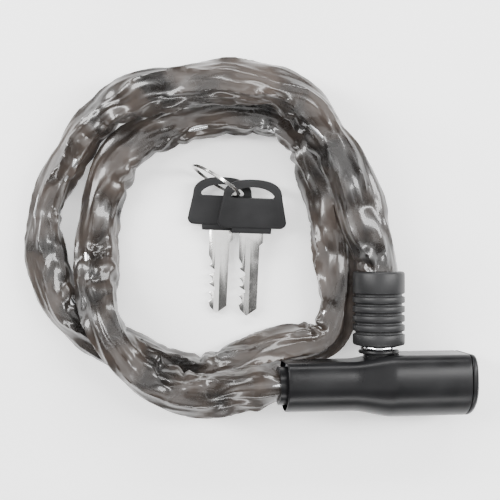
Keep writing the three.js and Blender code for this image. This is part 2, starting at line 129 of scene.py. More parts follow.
class Dressing:
    """A new material, its nodes and its Principled shader."""

    def __init__(self, name: str, **constants: object) -> None:
        """Makes the material.

        Args:
            name: the material's name.
            constants: sockets of the Principled shader that are the same all over.
        """
        self.material = bpy.data.materials.new(name)
        self.material.use_nodes = True
        self.tree = self.material.node_tree
        self.shader = self.tree.nodes["Principled BSDF"]
        for socket, value in constants.items():
            self.shader.inputs[socket.replace("_", " ")].default_value = value

    def node(self, kind: str, settings: dict | None = None, values: dict | None = None, out: int | str = 0) -> Sock:
        """Adds one node.

        Args:
            kind: the node's type.
            settings: its properties, set first. "stops" holds a ramp's positions and colours.
            values: its sockets by name or number, each a value, a socket or a Sock.
            out: the output to return.

        Returns:
            The output, wrapped.
        """
        made = self.tree.nodes.new(kind)
        for key, value in (settings or {}).items():
            if key == "stops":
                for i, (at, colour) in enumerate(value):
                    stop = made.color_ramp.elements[i] if i < 2 else made.color_ramp.elements.new(at)
                    stop.position, stop.color = at, (*colour, 1.0)
            else:
                setattr(made, key, value)
        for key, value in (values or {}).items():
            value = value.out if isinstance(value, Sock) else value
            if isinstance(value, bpy.types.NodeSocket):
                self.tree.links.new(value, made.inputs[key])
            else:
                made.inputs[key].default_value = value
        return Sock(self, made.outputs[out])

    def place(self, scale: Sequence[float] = (1, 1, 1)) -> Sock:
        """Object coordinates, stretched by scale."""
        coords = self.node("ShaderNodeTexCoord", out="Object")
        return self.node("ShaderNodeMapping", {}, {"Vector": coords, "Scale": tuple(scale)})

    def noise(self, scale: float, detail: float = 3, stretch: Sequence[float] = (1, 1, 1), warp: float = 0) -> Sock:
        """A noise value over Object coordinates, with scale in lumps to the metre."""
        values = {"Vector": self.place(stretch), "Scale": scale, "Detail": detail, "Distortion": warp}
        return self.node("ShaderNodeTexNoise", {}, values)

    def ramp(self, factor: Sock, *stops: tuple[float, Sequence[float]]) -> Sock:
        """A colour between stops, by factor."""
        return self.node("ShaderNodeValToRGB", {"stops": stops}, {"Fac": factor})

    def feed(self, **links: Sock) -> None:
        """Links values that vary over the surface to the Principled shader."""
        for socket, value in links.items():
            self.tree.links.new(value.out, self.shader.inputs[socket.replace("_", " ")])

    def bump(self, height: Sock, distance: float, strength: float = 1.0) -> None:
        """Feeds the normal from a height, with distance in metres for a height of 1."""
        normal = self.node("ShaderNodeBump", {}, {"Height": height, "Distance": distance, "Strength": strength})
        self.feed(Normal=normal)


# ---------------------------------------------------------------- finishes


@dataclass(frozen=True)
class SmokedVinyl:
    """Soft see-through vinyl, smoked brown, glossy, with fine creases."""

    clear: tuple = (0.0055, 0.0042, 0.0034)
    milky: tuple = (0.048, 0.036, 0.029)
    solid: float = 0.88

    def make(self) -> bpy.types.Material:
        """The finish as a material."""
        d = Dressing("smoked_vinyl", IOR=1.54, Alpha=self.solid, Coat_Weight=0.5, Coat_Roughness=0.05)
        d.shader.inputs["Specular IOR Level"].default_value = 0.4
        cloud = d.noise(45, 4, warp=0.6)
        d.feed(Base_Color=d.ramp(cloud, (0.35, self.clear), (0.70, self.milky)))
        fine = d.noise(110, 2, warp=0.8)
        d.feed(Roughness=0.26 + 0.10 * fine)
        d.bump(fine, 0.0002, 0.1)
        return d.material


@dataclass(frozen=True)
class MouldedPlastic:
    """Black moulded plastic."""

    name: str
    colour: tuple
    roughness: float
    grain: float
    grain_depth: float
    sheen: float = 0.2
    coat: float = 0.0

    def make(self) -> bpy.types.Material:
        """The finish as a material."""
        d = Dressing(self.name, IOR=1.5, Coat_Weight=self.coat, Coat_Roughness=0.12)
        d.shader.inputs["Specular IOR Level"].default_value = self.sheen
        handled = d.noise(55, 4)
        lighter = tuple(c * 1.5 + 0.004 for c in self.colour)
        d.feed(Base_Color=d.ramp(handled, (0.35, self.colour), (0.8, lighter)))
        d.feed(Roughness=self.roughness + 0.16 * (handled - 0.5))
        d.bump(d.noise(self.grain, 2), self.grain_depth, 0.6)
        return d.material


@dataclass(frozen=True)
class Metal:
    """A bare or plated metal, with fine scratches and duller patches."""

    name: str
    colour: tuple
    roughness: float
    scratch: float = 0.08
    stretch: tuple = (1, 1, 1)
    dull: float = 0.10

    def make(self) -> bpy.types.Material:
        """The finish as a material."""
        d = Dressing(self.name, Metallic=1.0)
        patches = d.noise(120, 4)
        lines = d.noise(1500, 2, self.stretch)
        darker = tuple(c * 0.78 for c in self.colour)
        d.feed(Base_Color=d.ramp(patches, (0.3, darker), (0.7, self.colour)))
        d.feed(Roughness=self.roughness + self.dull * patches.over(0.45, 0.8) + self.scratch * (lines - 0.5))
        d.bump(lines, 0.00002, 0.5)
        return d.material


class Finish(Enum):
    """The finishes that the object's pieces take."""

    SLEEVE = SmokedVinyl()
    LOCK = MouldedPlastic("lock_plastic", (0.006, 0.006, 0.0065), 0.30, 2600, 0.00003, 0.16)
    RIBS = MouldedPlastic("ferrule_plastic", (0.010, 0.010, 0.0105), 0.42, 2400, 0.00004, 0.28)
    KEY = MouldedPlastic("key_plastic", (0.010, 0.010, 0.0105), 0.52, 1500, 0.00007, 0.14)
    SEAL = MouldedPlastic("seal_rubber", (0.015, 0.015, 0.015), 0.7, 1200, 0.00003)
    CHROME = Metal("chrome", (0.78, 0.79, 0.81), 0.07, 0.04)
    NICKEL = Metal("nickel", (0.80, 0.79, 0.77), 0.20, 0.14, (1, 0.08, 1))
    CHAIN = Metal("chain_steel", (0.66, 0.67, 0.68), 0.26, 0.10)
    ZINC = Metal("cast_zinc", (0.42, 0.43, 0.44), 0.48, 0.1, dull=0.2)
    BRASS = Metal("brass", (0.66, 0.48, 0.22), 0.26, 0.12)


class Wardrobe:
    """Makes each finish once and puts it on pieces."""

    SLOTS = {
        Finish.SLEEVE: "sleeve_plastic",
        Finish.LOCK: "black_plastic",
        Finish.RIBS: "black_plastic",
        Finish.KEY: "key_plastic",
        Finish.SEAL: "seal_rubber",
        Finish.CHROME: "chrome",
        Finish.NICKEL: "nickel",
        Finish.CHAIN: "chain_steel",
        Finish.ZINC: "cast_zinc",
        Finish.BRASS: "brass",
    }

    def __init__(self) -> None:
        """Starts with no finish made."""
        self.made: dict[Finish, bpy.types.Material] = {}

    def dress(self, obj: bpy.types.Object, finish: Finish) -> None:
        """Puts a finish on every face of obj."""
        if finish not in self.made:
            self.made[finish] = finish.value.make()
        obj.data.materials.clear()
        obj.data.materials.append(self.made[finish])

    def add(
        self, bm: bmesh.types.BMesh, name: str, finish: Finish, body: str, replaces: Sequence[str] = ()
    ) -> bpy.types.Object:
        """Makes a finished piece from a bmesh, which it frees.

        Args:
            bm: the shape, in metres in the row frame.
            name: the piece's name.
            finish: what it is made of.
            body: the CAD body it rides on, or "" for a piece that is left unattached.
            replaces: the CAD nodes it stands for.

        Returns:
            The piece.
        """
        mesh = bpy.data.meshes.new(name)
        bm.to_mesh(mesh)
        bm.free()
        mesh.shade_smooth()
        mesh.set_sharp_from_angle(angle=math.radians(38))
        piece = bpy.data.objects.new(name, mesh)
        bpy.context.scene.collection.objects.link(piece)
        self.dress(piece, finish)
        if body:
            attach(piece, body)
        if replaces:
            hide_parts(*replaces)
        log.info("%s: %d faces on %s", name, len(mesh.polygons), body)
        return piece


# ---------------------------------------------------------------- shapes


def turned(points: Sequence[tuple[float, float]], steps: int = 96) -> bmesh.types.BMesh:
    """A profile spun round the Y axis.

    Args:
        points: (radius, place along Y) in millimetres; the profile ends on the axis or where it starts.
        steps: how many faces go round.

    Returns:
        The closed shape, facing out.
    """
    bm = bmesh.new()
    verts = [bm.verts.new(Vector((r, y, 0)) * MM) for r, y in points]
    closed = points[0][0] > 0
    pairs = list(zip(verts, verts[1:])) + ([(verts[-1], verts[0])] if closed else [])
    edges = [bm.edges.new(pair) for pair in pairs]
    bmesh.ops.spin(
        bm, geom=verts + edges, cent=(0, 0, 0), axis=(0, 1, 0), angle=2 * math.pi, steps=steps, use_merge=True
    )
    bmesh.ops.remove_doubles(bm, verts=bm.verts, dist=1e-6)
    bmesh.ops.recalc_face_normals(bm, faces=bm.faces)
    return bm


def slab(points: Sequence[tuple[float, float]], thickness: float) -> bmesh.types.BMesh:
    """A flat outline in XY given a thickness along Z, in millimetres."""
    bm = bmesh.new()
    face = bm.faces.new([bm.verts.new(Vector((x, y, 0)) * MM) for x, y in points])
    up = bmesh.ops.extrude_face_region(bm, geom=[face])
    lifted = [v for v in up["geom"] if isinstance(v, bmesh.types.BMVert)]
    bmesh.ops.translate(bm, verts=lifted, vec=(0, 0, thickness * MM))
    bmesh.ops.recalc_face_normals(bm, faces=bm.faces)
    return bm


def round_edges(bm: bmesh.types.BMesh, width: float, segments: int, sharper_than: float = 35) -> None:
    """Bevels the edges whose faces turn by more than an angle in degrees. Width in millimetres."""
    sharp = [e for e in bm.edges if e.is_manifold and e.calc_face_angle(0) > math.radians(sharper_than)]
    bmesh.ops.bevel(
        bm, geom=sharp, offset=width * MM, affect="EDGES", segments=segments, profile=0.5, material=-1,
        clamp_overlap=True,
    )


def arc(cx: float, cy: float, r: float, start: float, end: float, steps: int) -> list[tuple[float, float]]:
    """Points on an arc, with angles in degrees."""
    turn = [math.radians(start + (end - start) * i / steps) for i in range(steps + 1)]
    return [(cx + r * math.cos(a), cy + r * math.sin(a)) for a in turn]


def smooth(x: float, low: float, high: float) -> float:
    """0 at low or less, 1 at high or more, smooth between."""
    t = min(1.0, max(0.0, (x - low) / (high - low)))
    return t * t * (3 - 2 * t)


def subtract(bm: bmesh.types.BMesh, tools: Sequence[bmesh.types.BMesh]) -> bmesh.types.BMesh:
    """A shape less other shapes, cut exactly. Frees them all."""
    objects = []
    for shape in (bm, *tools):
        mesh = bpy.data.meshes.new("cutting")
        shape.to_mesh(mesh)
        shape.free()
        objects.append(bpy.data.objects.new("cutting", mesh))
        bpy.context.scene.collection.objects.link(objects[-1])
    for tool in objects[1:]:
        step = objects[0].modifiers.new("cut", "BOOLEAN")
        step.object, step.operation, step.solver = tool, "DIFFERENCE", "EXACT"
    depsgraph = bpy.context.evaluated_depsgraph_get()
    made = bmesh.new()
    made.from_mesh(objects[0].evaluated_get(depsgraph).to_mesh())
    for used in objects:
        bpy.data.objects.remove(used)
    return made


# ---------------------------------------------------------------- where things are


@dataclass
class LockPlace:
    """The lock's own sizes in millimetres, and where they lie in the row frame."""

    length: float = 90.0
    radius: float = 15.5
    flat: float = 14.4
    slim_share: float = 0.79
    tilt: float = math.radians(8.5)
    centre: tuple = (60.5, -63.4)
    anchor_x: float = -27.0
    bolt_x: float = 0.5
    wall: float = 1.8
    cap: float = 3.0
    gap: float = 0.3
    flange: float = 1.6
    ferrule_length: float = 34.8
    shift: Vector = field(init=False)

    def __post_init__(self) -> None:
        """Finds the row frame's origin from where the anchor pin lies."""
        low, high = (Vector(corner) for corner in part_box("anchor_pin"))
        self.shift = Vector((0, 0, 0))
        self.shift = (low + high) / 2 - self.at(self.anchor_x, 0, 0)

    def matrix(self) -> Matrix:
        """From the lock's own frame, in metres, to the row frame."""
        rise = self.radius * math.cos(self.tilt) + self.length / 2 * math.sin(self.tilt)
        middle = Vector((*self.centre, rise)) * MM
        return Matrix.Translation(middle + self.shift) @ Matrix.Rotation(self.tilt, 4, "Y")

    def at(self, x: float, y: float, z: float) -> Vector:
        """A point of the lock's own frame, in millimetres, in the row frame."""
        return self.matrix() @ (Vector((x, y, z)) * MM)

    def lying(self, x: float, y: float, z: float) -> Vector:
        """A point of the chain's route, in millimetres, in the row frame."""
        return Vector((x, y, z)) * MM + self.shift

    @property
    def bush(self) -> tuple[float, float]:
        """The bush flange's two faces, from the lock's axis."""
        return self.flat + self.gap, self.flat + self.gap + self.flange

    @property
    def bolt_flange(self) -> tuple[float, float]:
        """The bolt flange's two faces."""
        return self.bush[1] + self.gap, self.bush[1] + self.gap + self.flange

    @property
    def ferrule(self) -> tuple[float, float]:
        """The ferrule's two ends."""
        start = self.bolt_flange[1] + self.gap
        return start, start + self.ferrule_length

    def share(self, x: float) -> float:
        """How much of the big end's section the lock has at x."""
        slope = 0.03 * (x + self.length / 2) / self.length
        grown = (1 - self.slim_share) * smooth(x, self.bolt_x - 14, self.bolt_x + 8)
        return min(1.0, self.slim_share + slope + grown)


# ---------------------------------------------------------------- the barrel lock


@dataclass
class Barrel:
    """The lock's housing and end cap."""

    place: LockPlace
    wardrobe: Wardrobe
    round_steps: int = 26
    along_steps: int = 60

    def section(self, size: float) -> list[tuple[float, float]]:
        """The outline across the lock: round, with a flat side at +Y, scaled to size."""
        r = self.place.radius * size
        flat = self.place.flat * size
        half = 0.62 * r
        n = self.round_steps
        points = []
        for i in range(n + 1):
            t = i / n
            a, b, c = (1 - t) ** 2, 2 * t * (1 - t), t * t
            points.append((a * flat + b * flat + c * 0, a * half + b * r + c * r))
        points += arc(0, 0, r, 90, 270, 2 * n)[1:]
        points += [(y, -z) for y, z in reversed(points[: n + 1])][1:]
        return points

    def loft(self, stations: Sequence[tuple[float, float]]) -> bmesh.types.BMesh:
        """A closed shape through scaled sections.

        Args:
            stations: (place along the lock, size of the section) from the first end to the last.
        """
        bm = bmesh.new()
        ring = [bm.verts.new(Vector((0, y, z)) * MM) for y, z in self.section(1.0)]
        face = bm.faces.new(ring)
        start, size = stations[0]
        bmesh.ops.scale(bm, vec=(1, size, size), verts=ring)
        bmesh.ops.translate(bm, vec=(start * MM, 0, 0), verts=ring)
        for (x0, s0), (x1, s1) in zip(stations, stations[1:]):
            step = bmesh.ops.extrude_discrete_faces(bm, faces=[face])
            face = step["faces"][0]
            verts = list(face.verts)
            bmesh.ops.scale(bm, vec=(1, s1 / s0, s1 / s0), verts=verts)
            bmesh.ops.translate(bm, vec=((x1 - x0) * MM, 0, 0), verts=verts)
        bm.faces.ensure_lookup_table()
        bmesh.ops.recalc_face_normals(bm, faces=bm.faces)
        return bm

    def stations(self, start: float, end: float, inset: float, edge: float) -> list[tuple[float, float]]:
        """Sections from start to end, drawn in by inset, with rounded ends of radius edge."""
        turn = [math.radians(90 * i / 5) for i in range(6)]
        places = [start + edge * (1 - math.cos(a)) for a in turn] if edge else [start]
        count = self.along_steps
        places += [start + edge + (end - start - 2 * edge) * i / count for i in range(1, count)]
        places += [end - edge * (1 - math.sin(a)) for a in turn] if edge else [end]
        made = []
        for x in places:
            near = min(x - start, end - x)
            drawn = edge - math.sqrt(max(0, edge**2 - (edge - min(near, edge)) ** 2)) if edge else 0
            made.append((x, self.place.share(x) - (inset + drawn) / self.place.radius))
        return made

    def housing(self) -> bpy.types.Object:
        """The black shell, open at both ends and where the bolt goes in."""
        p = self.place
        half = p.length / 2
        end = half - p.cap - p.gap
        shell = self.loft(self.stations(-half, end, 0, 0.7))
        hollow = self.loft(self.stations(-half + p.wall, end + 4, p.wall, 0))
        mouth = turned([(0, -half - 3), (8.9, -half - 3), (8.9, -half + 4), (0, -half + 4)])
        bmesh.ops.rotate(mouth, verts=mouth.verts, cent=(0, 0, 0), matrix=Matrix.Rotation(-math.pi / 2, 3, "Z"))
        socket = turned([(0, 2), (7.6, 2), (7.6, p.flat + 3), (0, p.flat + 3)])
        bmesh.ops.translate(socket, verts=socket.verts, vec=(p.bolt_x * MM, 0, 0))
        bm = subtract(shell, [hollow, mouth, socket])
        bm.transform(p.matrix())
        return self.wardrobe.add(bm, "lock_housing", Finish.LOCK, "root", ["housing"])

    def end_cap(self) -> bpy.types.Object:
        """The cap at the key's end: a domed plate round the plug."""
        p = self.place
        half = p.length / 2
        start = half - p.cap
        dome = [(start, 0.985), (start + 0.25, 0.998), (start + 0.9, 1.0), (start + 1.5, 0.99), (start + 2.0, 0.972)]
        dome += [(start + 2.4, 0.948), (start + 2.7, 0.922), (start + 2.88, 0.896), (start + 3.0, 0.865)]
        plate = self.loft(dome)
        hole = turned([(0, start - 2), (6.25, start - 2), (6.25, half + 2), (0, half + 2)])
        bmesh.ops.rotate(hole, verts=hole.verts, cent=(0, 0, 0), matrix=Matrix.Rotation(-math.pi / 2, 3, "Z"))
        bm = subtract(plate, [hole])
        bm.transform(p.matrix())
        return self.wardrobe.add(bm, "lock_end_cap", Finish.LOCK, "root", ["end_cap"])

    def make(self) -> None:
        """Builds the housing and cap."""
        self.housing()
        self.end_cap()


@dataclass
class BoltEnd:
    """What plugs into the lock's side: bush, bolt with its seal groove, and ribbed ferrule."""

    place: LockPlace
    wardrobe: Wardrobe
    radius: float = 5.75
    depth: float = 5.9
    groove: tuple = (-4.2, 0.8)
    groove_radius: float = 3.5
    ferrule_radius: float = 12.3
    bore: float = 9.9
    floor: float = 5.5
    stub: float = 4.0
    grooves: int = 5
    groove_width: float = 1.5
    groove_depth: float = 1.25
    rib: float = 2.9
    top_collar: float = 10.4

    def set_down(self, bm: bmesh.types.BMesh) -> bmesh.types.BMesh:
        """Moves a shape made round the bolt's axis to where the bolt is."""
        bmesh.ops.translate(bm, verts=bm.verts, vec=(self.place.bolt_x * MM, 0, 0))
        bm.transform(self.place.matrix())
        return bm

    def bush(self) -> None:
        """The glossy black ring that the bolt's flange meets."""
        low, high = self.place.bush
        hole = self.radius + 0.35
        profile = [(hole, 4.0), (7.3, 4.0), (7.3, low), (9.35, low), (9.6, low + 0.25), (9.6, high - 0.5)]
        profile += [(9.45, high - 0.15), (9.1, high), (hole + 0.5, high), (hole, high - 0.5)]
        self.wardrobe.add(self.set_down(turned(profile)), "bolt_socket_bush", Finish.LOCK, "root", ["bolt_bush"])

    def bolt(self) -> None:
        """The chromed bolt, with its latch groove and flange."""
        r, d = self.radius, self.depth
        g0, g1 = self.groove
        f0, f1 = self.place.bolt_flange
        seal = 10.0
        profile = [(0, -d), (r - 1.6, -d), (r - 0.5, -d + 0.5), (r, -d + 1.5), (r, g0 - 0.2), (r - 0.2, g0)]
        profile += [(self.groove_radius, g0), (self.groove_radius, g1), (r - 0.2, g1), (r, g1 + 0.2)]
        profile += [(r, seal - 1.0), (r - 1.7, seal - 1.0), (r - 1.7, seal + 1.0), (r, seal + 1.0), (r, f0)]
        profile += [(8.4, f0), (8.7, f0 + 0.3), (8.7, f1 - 0.4), (8.5, f1 - 0.1), (8.2, f1), (self.stub, f1)]
        top = self.place.ferrule[0] + self.floor - 0.5
        profile += [(self.stub, top - 0.4), (self.stub - 0.4, top), (0, top)]
        self.wardrobe.add(self.set_down(turned(profile)), "lock_bolt", Finish.CHROME, "bolt", ["bolt"])

    def ferrule(self) -> None:
        """The ribbed collar: ribs between rounded grooves, and a deep mouth for the chain's end."""
        low, high = self.place.ferrule
        r = self.ferrule_radius
        profile = [(self.stub + 0.3, low), (r - 1.1, low), (r - 0.35, low + 0.3), (r, low + 1.0)]
        first = high - self.top_collar - self.grooves * self.groove_width - (self.grooves - 1) * self.rib
        for i in range(self.grooves):
            a = first + i * (self.groove_width + self.rib)
            b = a + self.groove_width
            g = r - self.groove_depth
            profile += [(r, a - 0.45), (r - 0.12, a - 0.15), (r - 0.45, a + 0.05), (g + 0.15, a + 0.2), (g, a + 0.4)]
            profile += [(g, b - 0.4), (g + 0.15, b - 0.2), (r - 0.45, b - 0.05), (r - 0.12, b + 0.15), (r, b + 0.45)]
        profile += [(r, high - 1.3), (r - 0.2, high - 0.55), (r - 0.7, high - 0.12), (r - 1.2, high)]
        profile += [(self.bore + 0.4, high), (self.bore, high - 0.4), (self.bore, low + self.floor)]
        profile += [(self.stub + 0.3, low + self.floor)]
        self.wardrobe.add(self.set_down(turned(profile, 128)), "ribbed_ferrule", Finish.RIBS, "bolt", ["ferrule"])

    def make(self) -> None:
        """Builds the three pieces."""
        self.bush()
        self.bolt()
        self.ferrule()


# ---------------------------------------------------------------- the chain and its sleeve

ROUTE = [
    (6, -63.5, 29.8), (-7, -65, 30), (-21, -67, 29.6), (-35, -66, 29.4), (-47, -61, 29.3),
    (-56, -53, 29.3), (-63, -44, 29), (-68, -34, 26.5), (-71.5, -24, 20), (-74, -13, 13),
    (-74.5, -2, 9.8), (-74, 10, 9.8), (-72, 22, 9.8), (-69, 33, 9.8), (-63.5, 43, 9.8),
    (-55.5, 51, 9.8), (-46, 57, 9.8), (-35, 61.5, 9.8), (-22, 64.5, 9.8), (-7, 66, 9.8),
    (6, 65, 9.8), (17, 61, 9.8), (25.5, 53.5, 9.8), (31, 43, 9.8), (34.5, 31.5, 9.8),
    (38, 19, 9.8), (40.5, 6, 9.8), (41.8, -7, 9.8), (42.2, -19, 9.8), (42, -30, 9.8),
    (39, -39.5, 9.8), (33, -44.8, 9.8), (24, -46.8, 9.8), (12, -48.8, 9.8), (0, -53.5, 9.8),
    (-14, -58.5, 9.8), (-27, -60, 9.8), (-41, -56.5, 9.8), (-54, -51, 9.8), (-67, -46, 9.8),
    (-79, -39.5, 9.8), (-88.5, -31, 9.8), (-94.5, -19.5, 9.8), (-98, -6, 9.8), (-99.5, 7, 9.8),
    (-98.5, 20.5, 9.8), (-94.5, 33, 9.8), (-88, 45, 9.8), (-80, 56, 11.5), (-69, 66, 16),
    (-55, 73, 22.5), (-40.5, 76.5, 27), (-25, 78, 28.8), (-9, 78, 29), (6, 76, 29),
    (19, 71, 29), (30, 63, 29), (38.5, 52.5, 28.6), (44.5, 40, 28), (49, 26.5, 27),
    (53, 13, 25.4), (57.5, 1, 22.8),
]  # fmt: skip


WAISTS = [
    ((42, -30, 9.8), 1.4), ((-97, 22, 9.8), 2.6), ((-83, 53, 11.5), 1.6), ((-74, -2, 9.8), -1.0),
    ((-66, -38, 26.5), 1.4), ((-26, 64, 9.8), 1.8), ((28, 48, 9.8), 1.2), ((52, 16, 25.4), -1.2),
]  # fmt: skip


class Line:
    """A smooth line through points, measured along its length."""

    def __init__(self, points: Sequence[Vector], fine: int = 40) -> None:
        """Runs a centripetal curve through the points, with fine steps between each two."""
        ends = [2 * points[0] - points[1], *points, 2 * points[-1] - points[-2]]
        self.spots: list[Vector] = []
        for a, b, c, d in zip(ends, ends[1:], ends[2:], ends[3:]):
            self.spots += [self._between(a, b, c, d, i / fine) for i in range(fine)]
        self.spots.append(points[-1].copy())
        self.runs = [0.0]
        for a, b in zip(self.spots, self.spots[1:]):
            self.runs.append(self.runs[-1] + (b - a).length)
        self.length = self.runs[-1]

    @staticmethod
    def _between(a: Vector, b: Vector, c: Vector, d: Vector, share: float) -> Vector:
        """A point between b and c on the centripetal curve through all four."""
        t = [0.0]
        for p, q in ((a, b), (b, c), (c, d)):
            t.append(t[-1] + max(1e-6, math.sqrt((q - p).length)))
        u = t[1] + (t[2] - t[1]) * share

        def mix(p: Vector, q: Vector, low: float, high: float) -> Vector:
            return p.lerp(q, (u - low) / (high - low))

        first, second, third = mix(a, b, t[0], t[1]), mix(b, c, t[1], t[2]), mix(c, d, t[2], t[3])
        return mix(mix(first, second, t[0], t[2]), mix(second, third, t[1], t[3]), t[1], t[2])

    def at(self, run: float) -> Vector:
        """The point this far along, in metres."""
        run = min(max(run, 0.0), self.length)
        low, high = 0, len(self.runs) - 1
        while high - low > 1:
            middle = (low + high) // 2
            low, high = (middle, high) if self.runs[middle] <= run else (low, middle)
        share = (run - self.runs[low]) / max(1e-9, self.runs[high] - self.runs[low])
        return self.spots[low].lerp(self.spots[high], share)

    def way(self, run: float) -> Vector:
        """The direction this far along."""
        return (self.at(run + 0.001) - self.at(run - 0.001)).normalized()

    def bend(self, run: float) -> Vector:
        """How sharply and which way it turns there, in 1/metres."""
        step = 0.006
        return (self.way(run + step) - self.way(run - step)) / (2 * step)

    def nearest(self, point: Vector) -> float:
        """How far along the spot nearest to a point is."""
        best = min(range(len(self.spots)), key=lambda i: (self.spots[i] - point).length_squared)
        return self.runs[best]


@dataclass
class Chain:
    """The links, from the pin in the lock to the pin in the ferrule."""

    place: LockPlace
    wardrobe: Wardrobe
    line: Line
    wire: float = 3.7
    inner: float = 7.6
    slack: float = 0.4
    links: int = 47
    sliding: int = 5
    held: int = 2
    twisting: int = 5
    loose: tuple = (15, 11)

    def link(self, i: int) -> bmesh.types.BMesh:
        """Link i: a ring of round wire whose halves are pushed apart."""
        pitch = self.line.length / self.links
        bow = (self.inner + self.wire) / 2 * MM
        push = (pitch + (self.wire + self.slack) * MM) / 2 - bow
        bm = bmesh.new()
        across = Matrix.Translation((0, bow, 0)) @ Matrix.Rotation(math.pi / 2, 4, "Y")
        ring = bmesh.ops.create_circle(bm, segments=12, radius=self.wire / 2 * MM, matrix=across)
        edges = list({e for v in ring["verts"] for e in v.link_edges})
        bmesh.ops.spin(
            bm, geom=ring["verts"] + edges, cent=(0, 0, 0), axis=(0, 0, 1), angle=2 * math.pi, steps=28,
            use_merge=True,
        )
        bmesh.ops.remove_doubles(bm, verts=bm.verts, dist=1e-6)
        for side in (1, -1):
            half = [v for v in bm.verts if v.co.x * side > 1e-6]
            bmesh.ops.translate(bm, verts=half, vec=(side * push, 0, 0))
        bmesh.ops.recalc_face_normals(bm, faces=bm.faces)
        bm.transform(self.lying(i))
        return bm

    def lying(self, i: int) -> Matrix:
        """Where link i lies, each turned a quarter from the last."""
        start = self.line.at(self.line.length * i / self.links)
        end = self.line.at(self.line.length * (i + 1) / self.links)
        along = (end - start).normalized()
        side = AXIS_Z.cross(along).normalized()
        share = min(i, self.links - 1 - i, self.twisting) / self.twisting
        roll = share * math.pi / 4 + (i % 2) * math.pi / 2
        wide = side * math.cos(roll) + along.cross(side) * math.sin(roll)
        turn = Matrix((along, wide, along.cross(wide))).transposed().to_4x4()
        return Matrix.Translation((start + end) / 2) @ turn

    def stretch(self, numbers: Sequence[int]) -> bmesh.types.BMesh:
        """Several links as one shape."""
        whole = bmesh.new()
        for i in numbers:
            mesh = bpy.data.meshes.new("link")
            one = self.link(i)
            one.to_mesh(mesh)
            one.free()
            whole.from_mesh(mesh)
            bpy.data.meshes.remove(mesh)
        return whole

    def make(self) -> list[bpy.types.Object]:
        """Builds the links that lie still, those that slide and those that the ferrule holds."""
        fixed = self.links - self.held - self.sliding
        first, last = self.loose[0], fixed - self.loose[1]
        stretches = {
            "lock_end": (range(first), [f"chain_link_{i + 1:02d}" for i in range(first)]),
            "middle": (range(first, last), ["chain_middle"]),
            "bolt_end": (range(last, fixed), [f"chain_link_{i + 1:02d}" for i in range(last, fixed)]),
        }
        made = []
        for name, (numbers, nodes) in stretches.items():
            shape = self.stretch(numbers)
            made.append(self.wardrobe.add(shape, f"steel_links_{name}", Finish.CHAIN, "root", nodes))
        for k in range(self.sliding):
            name = f"sliding_link_{k + 1}"
            made.append(self.wardrobe.add(self.link(fixed + k), f"steel_{name}", Finish.CHAIN, name, [name]))
        for k in range(self.held):
            name = f"ferrule_link_{k + 1}"
            link = self.link(self.links - self.held + k)
            made.append(self.wardrobe.add(link, f"steel_{name}", Finish.CHAIN, "bolt", [name]))
        return made


class Crush:
    """Flat facets on a crushed tube: a many-sided section that turns by half a side at each fold."""

    def __init__(self, length: float, sides: int, bay: tuple[float, float], depth: float, seed: int) -> None:
        """Chooses where the tube folds.

        Args:
            length: the tube's length in millimetres.
            sides: how many facets go round.
            bay: the least and the most that lies between two folds, in millimetres.
            depth: how far the facets' corners stand out from their middles, in millimetres.
            seed: which of the possible choices to take.
        """
        chance = random.Random(seed)
        self.sides, self.depth = sides, depth
        self.folds, self.phases, self.pinches = [-40.0], [0.0], [(0.0, 0.0)]
        while self.folds[-1] < length + 40:
            self.folds.append(self.folds[-1] + chance.uniform(*bay))
            self.phases.append(self.phases[-1] + math.pi / sides * chance.uniform(0.75, 1.2))
            self.pinches.append((chance.uniform(0, 2 * math.pi), chance.uniform(0.2, 1.0)))

    def corner(self, turn: float, phase: float) -> float:
        """From 0 in a facet's middle to 1 at its corners."""
        half = math.pi / self.sides
        local = (turn - phase) % (2 * half) - half
        return (math.cos(half) / math.cos(local) - math.cos(half)) / (1 - math.cos(half))

    def height(self, along: float, turn: float) -> float:
        """How far the film stands out here, in millimetres."""
        k = min(max(bisect.bisect(self.folds, along) - 1, 0), len(self.folds) - 2)
        t = (along - self.folds[k]) / (self.folds[k + 1] - self.folds[k])
        facet = (1 - t) * self.corner(turn, self.phases[k]) + t * self.corner(turn, self.phases[k + 1])
        drawn = 0.0
        for j, near in ((k, 1 - t), (k + 1, t)):
            side, strength = self.pinches[j]
            drawn += strength * max(0.0, math.cos(turn - side)) * max(0.0, 2.4 * near - 1.4) ** 1.5
        return self.depth * (facet - 0.42 - 0.9 * drawn)


